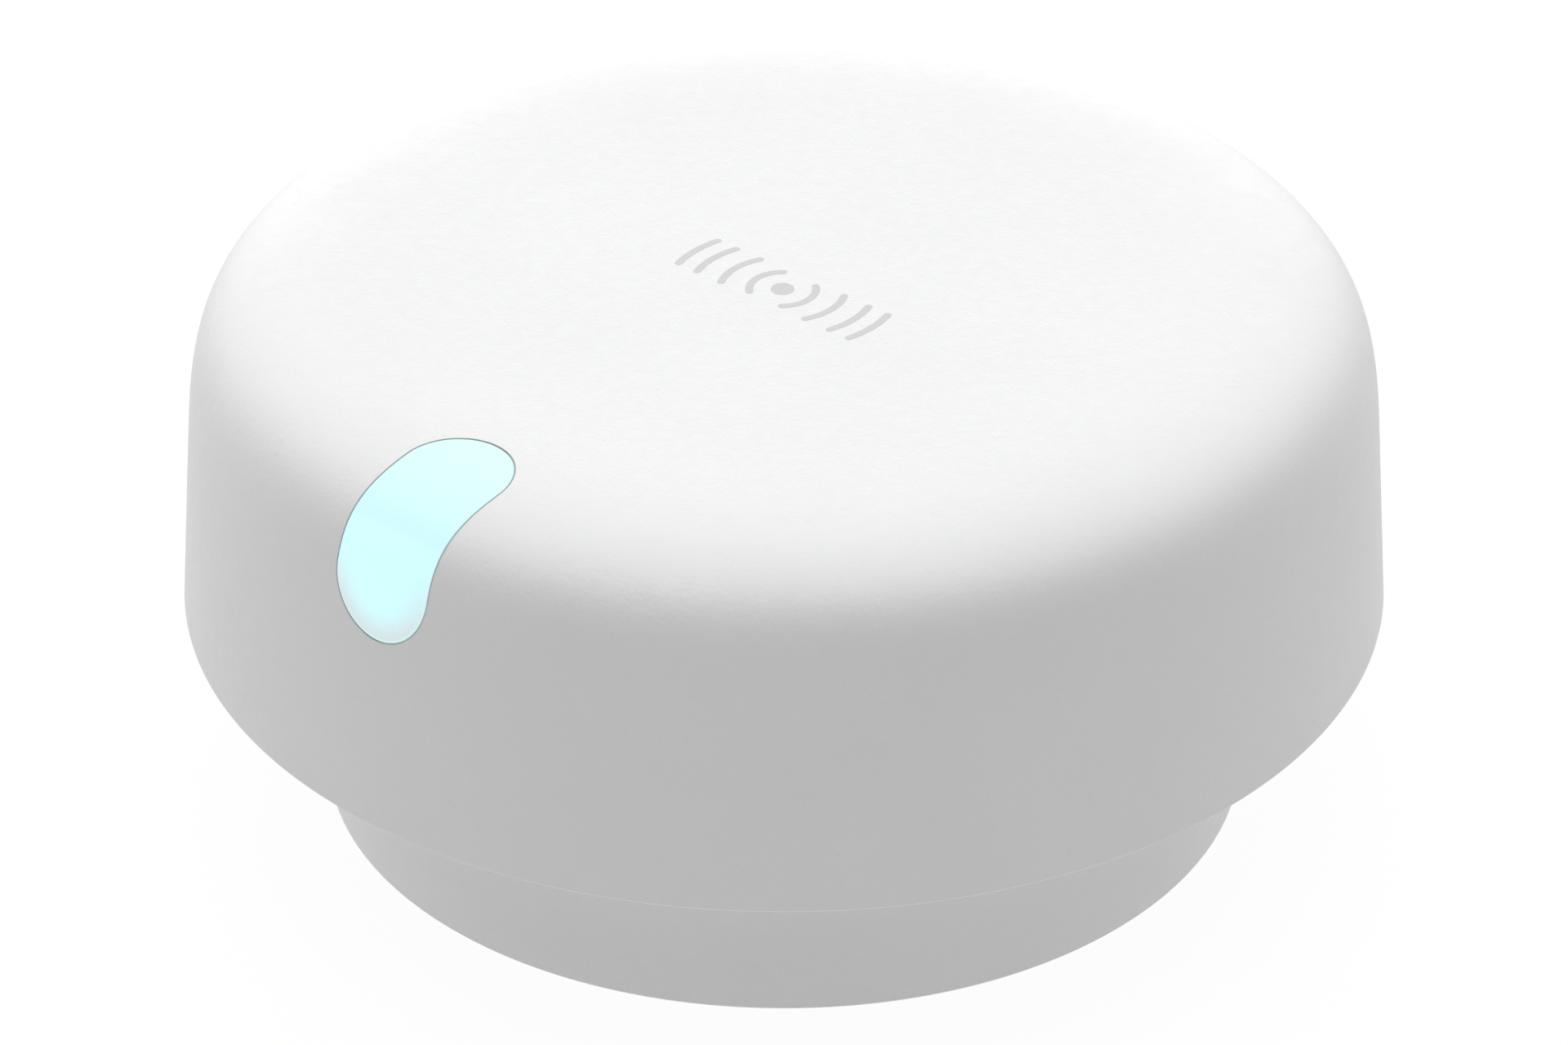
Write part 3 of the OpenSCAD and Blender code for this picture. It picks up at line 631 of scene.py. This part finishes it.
def build_shell():
    b = Builder()
    FR = 0.11  # rounded lower edge of the drum
    z_edge = RIM_Z + FR
    outer = Profile(0.0, z_edge)
    inner = Profile(WALL, RIM_Z + 0.9)  # its lowest ring sits a little above the small edge
    F = 0.045  # rounded lip of the window
    FP = 0.3  # rounded lip of the port

    def near(prof, s, th, gw, gp):
        r, z, _, _ = prof.at(s)
        x, y = r * math.cos(th), r * math.sin(th)
        if y > 0 and window_inside(x, (y - z) * C45 - WIN_Y, gw):
            return True
        if y < 0 and gp is not None and pill_inside(z - USB_Z, x, *gp):
            return True
        return False

    # outer skin
    rows = list(np.arange(1.5, 17, 1.5)) + list(np.arange(17.4, 38, 0.42)) + list(np.arange(38.4, outer.s[-1] - 0.4, 0.9))
    p0, n0, ws, wth = window_loop(outer, F)
    wl0 = b.add(p0, n0)
    wl = [(polar(ws, wth), wl0)]
    pp, pn, ps, pth = port_loop(12.8, 6.9, FP, prof=outer)
    pl0 = b.add(pp, pn)
    NR = 300
    th = np.arange(NR) * 2 * math.pi / NR
    rp, rn = outer.point(np.full(NR, outer.s[-1]), th)
    ring0 = b.add(rp, rn)
    loops = [(polar(np.full(NR, outer.s[-1]), th), ring0), (polar(ws, wth), wl0), (polar(ps, pth), pl0)]
    extra = skin_grid(outer, rows, NR, outer.s[-1], lambda s, t: near(outer, s, t, F + 0.28, (6.9, 12.8, FP + 0.3)))
    # guard rings close to both openings keep the triangles even
    for g in (0.12, 0.3):
        _, _, s2, t2 = window_loop(outer, F + g)
        extra += [tuple(q) for q in polar(s2, t2)]
        _, _, s3, t3 = port_loop(12.8, 6.9, FP + g, prof=outer)
        extra += [tuple(q) for q in polar(s3, t3)]

    def keep_outer(c):
        s, t = math.hypot(*c), math.atan2(c[1], c[0])
        return s < outer.s[-1] and not near(outer, s, t, F - 0.01, (6.9, 12.8, FP - 0.01))

    def to3d_outer(q):
        return outer.point(np.hypot(q[:, 0], q[:, 1]), np.arctan2(q[:, 1], q[:, 0]))

    plane_mesh(b, to3d_outer, loops, extra, keep_outer)

    # rounded lip and wall of the window
    prev = wl0
    for k in range(1, 5):
        a = math.pi / 2 * k / 4
        p, n, _, _ = window_loop(outer, F * (1 - math.sin(a)), F * (1 - math.cos(a)), a)
        cur = b.add(p, n)
        b.strip(prev, cur, flip=True)
        prev = cur
    wall_top = prev
    pi_, ni_, is_, ith = window_loop(inner, 0.0, 0.0, math.pi / 2)
    mid = b.add(0.5 * (np.array([b.v[i] for i in wall_top]) + pi_), ni_)
    b.strip(wall_top, mid, flip=True)
    low = b.add(pi_, ni_)
    b.strip(mid, low, flip=True)
    # inner skin (its own normals point inwards)
    pin, nin, _, _ = window_loop(inner, 0.0)
    il0 = b.add(pin, -nin)
    # rounded lip, wall, floor and throat of the port
    prev = pl0
    for k in range(1, 5):
        a = math.pi / 2 * k / 4
        p, n, _, _ = port_loop(12.8, 6.9, FP * (1 - math.sin(a)), prof=outer, drop=FP * (1 - math.cos(a)), tilt=a)
        cur = b.add(p, n)
        b.strip(prev, cur, flip=False)
        prev = cur
    FL = 0.25
    for k in range(0, 5):
        a = math.pi / 2 * (1 - k / 4)
        p, n, _, _ = port_loop(12.8, 6.9, -FL * (1 - math.sin(a)), y=29.6 + FL - FL * math.cos(a) , tilt=a)
        cur = b.add(p, n)
        b.strip(prev, cur, flip=False)
        prev = cur
    for k in range(0, 4):
        a = math.pi / 2 * k / 3
        p, n, _, _ = port_loop(9.3, 3.6, 0.1 * (1 - math.sin(a)), y=29.6 - 0.1 * (1 - math.cos(a)), tilt=a)
        cur = b.add(p, n)
        b.strip(prev, cur, flip=False)
        prev = cur
    p, n, ips, ipth = port_loop(9.3, 3.6, 0.0, prof=inner, tilt=math.pi / 2)
    p[:, 1] = np.maximum(p[:, 1], -29.44)
    thr = b.add(p, n)
    b.strip(prev, thr, flip=False)

    # inner skin
    q, _, _, _ = port_loop(9.3, 3.6, 0.0, prof=inner)
    _, nq = inner.point(ips, ipth)
    ip0 = b.add(p, -nq)
    NI = 150
    thi = np.arange(NI) * 2 * math.pi / NI
    rpi, rni = inner.point(np.full(NI, inner.s[-1]), thi)
    ringi = b.add(rpi, -rni)
    loops = [(polar(np.full(NI, inner.s[-1]), thi), ringi), (polar(is_, ith), il0), (polar(ips, ipth), ip0)]
    rows = list(np.arange(2, 17, 2.5)) + list(np.arange(18, 33, 1.0)) + list(np.arange(34, inner.s[-1] - 0.8, 2.0))
    extra = skin_grid(inner, rows, NI, inner.s[-1], lambda s, t: near(inner, s, t, 0.5, (3.6, 9.3, 0.6)))

    def keep_inner(c):
        s, t = math.hypot(*c), math.atan2(c[1], c[0])
        return s < inner.s[-1] and not near(inner, s, t, -0.01, (3.6, 9.3, -0.004))

    def to3d_inner(q):
        p, n = inner.point(np.hypot(q[:, 0], q[:, 1]), np.arctan2(q[:, 1], q[:, 0]))
        return p, -n

    plane_mesh(b, to3d_inner, loops, extra, keep_inner, flip=True)

    # lower rim: rounded outer edge, flat, small inner edge
    prev = ring0
    c, s = np.cos(th), np.sin(th)
    r_side = side_r(z_edge)
    for k in range(1, 6):
        a = math.pi / 2 * k / 5
        r = r_side - FR + FR * math.cos(a)
        z = z_edge - FR * math.sin(a)
        cur = b.add(np.stack([r * c, r * s, np.full(NR, z)], -1), np.stack([math.cos(a) * c, math.cos(a) * s, np.full(NR, -math.sin(a))], -1))
        b.strip(prev, cur, flip=True)
        prev = cur
    ri = side_r(RIM_Z) - WALL * SLOPE
    th2 = np.arange(NR) * 2 * math.pi / NR
    cur = b.add(np.stack([(ri + 0.15) * c, (ri + 0.15) * s, np.full(NR, RIM_Z)], -1), np.tile([0, 0, -1.0], (NR, 1)))
    b.strip(prev, cur, flip=True)
    prev = cur
    edge_in = b.add(np.stack([ri * c, ri * s, np.full(NR, RIM_Z + 0.15)], -1), np.stack([-c, -s, np.zeros(NR)], -1))
    b.strip(prev, edge_in, flip=True)
    # join 300 round to 150 round on the inner wall
    for i in range(NI):
        a0, a1, a2 = edge_in[(2 * i) % NR], edge_in[(2 * i + 1) % NR], edge_in[(2 * i + 2) % NR]
        r0, r1 = ringi[i], ringi[(i + 1) % NI]
        b.f.append((a0, r0, a1))
        b.f.append((a1, r0, r1))
        b.f.append((a1, r1, a2))
    return b


def tube(b, cx, cy, r0, r1, z0, z1, m=28):
    th = np.arange(m) * 2 * math.pi / m
    c, s = np.cos(th), np.sin(th)
    o = np.zeros(m)
    up, dn = np.tile([0, 0, 1.0], (m, 1)), np.tile([0, 0, -1.0], (m, 1))

    def ring(r, z, n):
        return b.add(np.stack([cx + r * c, cy + r * s, np.full(m, z)], -1), n)

    rad = np.stack([c, s, o], -1)
    b.strip(ring(r1, z0, rad), ring(r1, z1, rad))
    b.strip(ring(r1, z1, up), ring(r0, z1, up))
    b.strip(ring(r0, z1, -rad), ring(r0, z0, -rad))
    b.strip(ring(r0, z0, dn), ring(r1, z0, dn))


b = build_shell()
for x in (-15.2, 15.2):
    for y in (-15.2, 15.2):
        tube(b, x, y, 0.83, 3.0, 17.62, 27.7)
        tube(b, x, y, 0.83, 1.9, 13.2, 17.7)
for x, y in ((20.5, 0), (-20.5, 0), (0, -19.5)):
    tube(b, x, y, 0.78, 2.25, 24.32, 27.7)
shell = b.make("drum_shell", M["housing_plastic"], "puck")
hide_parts("front_housing")


# ------------------------------------------------------------------ lens
def build_lens():
    b = Builder()
    outer = Profile(0.0, RIM_Z + 1)
    lower = Profile(LENS_T, RIM_Z + 1)
    F = 0.045
    P, N = window_outline(N_ARC, N_SIDE, -GAP - F)
    p, n, _, _ = window_loop(outer, -F, lens=True)
    top = b.add(p, n)

    def inside_pts(grow, step):
        pts = []
        for x in np.arange(-WIN_W / 2, WIN_W / 2 + 1e-6, step):
            for y in np.arange(-WIN_L / 2, WIN_L / 2 + 1e-6, step):
                if window_inside(x, y, grow - GAP):
                    pts.append((x, y))
        return pts

    def to3(prof, sign):
        def f(q):
            s, th = prof.from_window(q[:, 0], q[:, 1] + WIN_Y)
            p, n = prof.point(s, th)
            return p, n * sign
        return f

    plane_mesh(b, to3(outer, 1), [(P, top)], inside_pts(-F - 0.2, 0.28), lambda c: window_inside(c[0], c[1], -GAP - F + 0.001), flip=False)
    prev = top
    for k in range(1, 6):
        a = math.pi / 2 * k / 5
        p, n, _, _ = window_loop(outer, -F * (1 - math.sin(a)), F * (1 - math.cos(a)), a, lens=True)
        cur = b.add(p, n)
        b.strip(prev, cur, flip=True)
        prev = cur
    p, n, _, _ = window_loop(lower, 0.0, 0.0, math.pi / 2, lens=True)
    low = b.add(p, n)
    b.strip(prev, low, flip=True)
    p2, n2, _, _ = window_loop(lower, 0.0, lens=True)
    low2 = b.add(p2, -n2)
    P2, _ = window_outline(N_ARC, N_SIDE, -GAP)
    plane_mesh(b, to3(lower, -1), [(P2, low2)], inside_pts(-0.25, 0.45), lambda c: window_inside(c[0], c[1], -GAP + 0.001), flip=True)
    return b


lens = build_lens().make("lens_shell", M["lens"], "button")
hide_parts("button_lens")


# ------------------------------------------------------------------ generic printed mark: a dot and plain waves
def build_mark():
    b = Builder()
    z0, z1 = H - 0.03, H + 0.008
    cx, cy = -0.6, 0.8

    def closed(points):
        m = len(points)
        P = np.array(points)
        up, dn = np.tile([0, 0, 1.0], (m, 1)), np.tile([0, 0, -1.0], (m, 1))
        t = b.add(np.column_stack([P, np.full(m, z1)]), up)
        lo = b.add(np.column_stack([P, np.full(m, z0)]), dn)
        d = np.roll(P, -1, 0) - np.roll(P, 1, 0)
        sn = np.column_stack([d[:, 1], -d[:, 0], np.zeros(m)])
        st = b.add(np.column_stack([P, np.full(m, z1)]), sn)
        sl = b.add(np.column_stack([P, np.full(m, z0)]), sn)
        b.strip(sl, st)
        return t, lo

    # dot
    m = 48
    pts = [(cx + 0.62 * math.cos(2 * math.pi * k / m), cy + 0.62 * math.sin(2 * math.pi * k / m)) for k in range(m)]
    t, lo = closed(pts)
    c1 = b.add([(cx, cy, z1)], [(0, 0, 1)])[0]
    c0 = b.add([(cx, cy, z0)], [(0, 0, -1)])[0]
    b.fan(t, c1)
    b.fan(lo, c0, flip=True)
    # waves
    for sign in (1, -1):
        for R in (1.75, 3.3, 4.85, 6.1):
            half = min(math.asin(min(1.0, 1.55 / R)), math.radians(50))
            w = 0.21
            n = 40
            outer_ = [(R + w, a) for a in np.linspace(-half, half, n)]
            cap1 = [(R + w * math.cos(g), half + w * math.sin(g) / R) for g in np.linspace(0, math.pi, 9)[1:-1]]
            inner_ = [(R - w, a) for a in np.linspace(half, -half, n)]
            cap0 = [(R - w * math.cos(g), -half - w * math.sin(g) / R) for g in np.linspace(0, math.pi, 9)[1:-1]]
            pts = [(cx + sign * r * math.cos(a), cy + r * math.sin(a)) for r, a in outer_ + cap1 + inner_ + cap0]
            if sign < 0:
                pts = pts[::-1]
            t, lo = closed(pts)
            mm = len(pts)
            # quads across the stroke
            if sign > 0:
                io = list(range(n)); ii = [n + 7 + (n - 1 - k) for k in range(n)]
                capA = list(range(n, n + 7)); capB = list(range(2 * n + 7, 2 * n + 14))
            else:
                conv = lambda k: mm - 1 - k
                io = [conv(k) for k in range(n)]; ii = [conv(n + 7 + (n - 1 - k)) for k in range(n)]
                capA = [conv(k) for k in range(n, n + 7)]; capB = [conv(k) for k in range(2 * n + 7, 2 * n + 14)]
            for L, flip in ((t, sign < 0), (lo, sign > 0)):
                for k in range(n - 1):
                    q = (L[io[k]], L[io[k + 1]], L[ii[k + 1]], L[ii[k]])
                    b.f.append(q[::-1] if flip else q)
                ca = [L[io[n - 1]]] + [L[k] for k in capA] + [L[ii[n - 1]]]
                cb = [L[ii[0]]] + [L[k] for k in capB] + [L[io[0]]]
                b.f.append(tuple(ca[::-1] if flip else ca))
                b.f.append(tuple(cb[::-1] if flip else cb))
    return b


mark = build_mark().make("face_mark", M["print"], "puck")

# ------------------------------------------------------------------ floor
fm, fnt, fbs, fvec = new_mat("floor")
fn = noise(fnt, fvec, 30.0, 2.0)
fnt.links.new(mix_color(fnt, fn, (0.038, 0.038, 0.038), (0.042, 0.042, 0.042)), fbs.inputs["Base Color"])
fbs.inputs["Emission Color"].default_value = (1, 1, 1, 1)
fbs.inputs["Emission Strength"].default_value = FLOOR_GLOW
fbs.inputs["Roughness"].default_value = 0.9
fbs.inputs["Specular IOR Level"].default_value = 0.1
fme = bpy.data.meshes.new("floor")
fme.from_pydata([(-4, -4, 0), (4, -4, 0), (4, 4, 0), (-4, 4, 0)], [], [(0, 1, 2, 3)])
fme.materials.append(fm)
floor = bpy.data.objects.new("floor", fme)
scene.collection.objects.link(floor)
